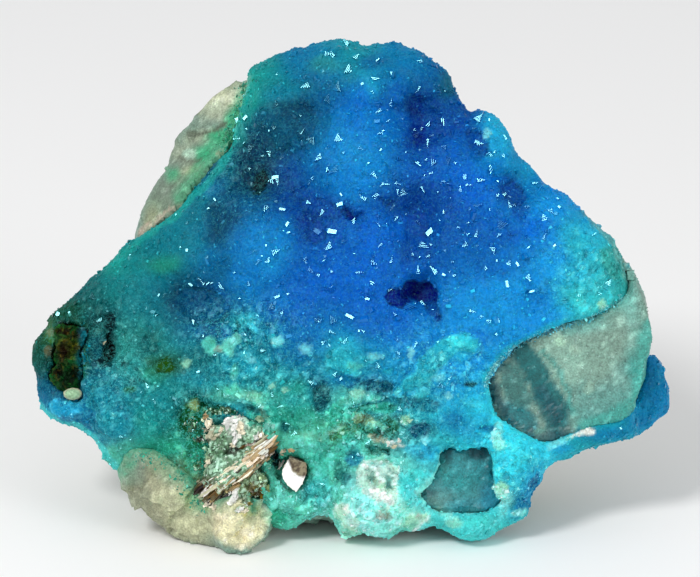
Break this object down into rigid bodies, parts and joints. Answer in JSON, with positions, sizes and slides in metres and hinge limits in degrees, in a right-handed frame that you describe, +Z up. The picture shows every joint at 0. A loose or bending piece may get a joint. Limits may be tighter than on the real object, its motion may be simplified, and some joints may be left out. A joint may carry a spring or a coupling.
{
  "type": "turquoise specimen",
  "caption": "Loose thumbnail mineral specimen: a druse of blue turquoise micro-crystals over broken vein quartz, with mica books and a limonite patch.",
  "frame": {"origin": "centre of the bottom of the specimen's box, on the surface that it stands on", "axes": "+X to the right across the crust's face, +Y away from the face towards the back, +Z up"},
  "size_m": [0.0258, 0.0136, 0.019],
  "materials": {
    "turquoise": "translucent crystal druse, glassy facets",
    "quartz": "frosted translucent broken quartz",
    "mica": "pearly silvery brown blades",
    "silver_mica": "bright silvery cleavage",
    "limonite": "dull crumbly brown-black",
    "pale_quartz": "frosted pale quartz"
  },
  "bodies": {
    "root": {"turquoise_crust": "turquoise", "quartz_matrix": "quartz", "mica_book": "mica", "mica_flake": "silver_mica", "limonite_patch": "limonite", "quartz_grain": "pale_quartz"}
  },
  "joints": []
}
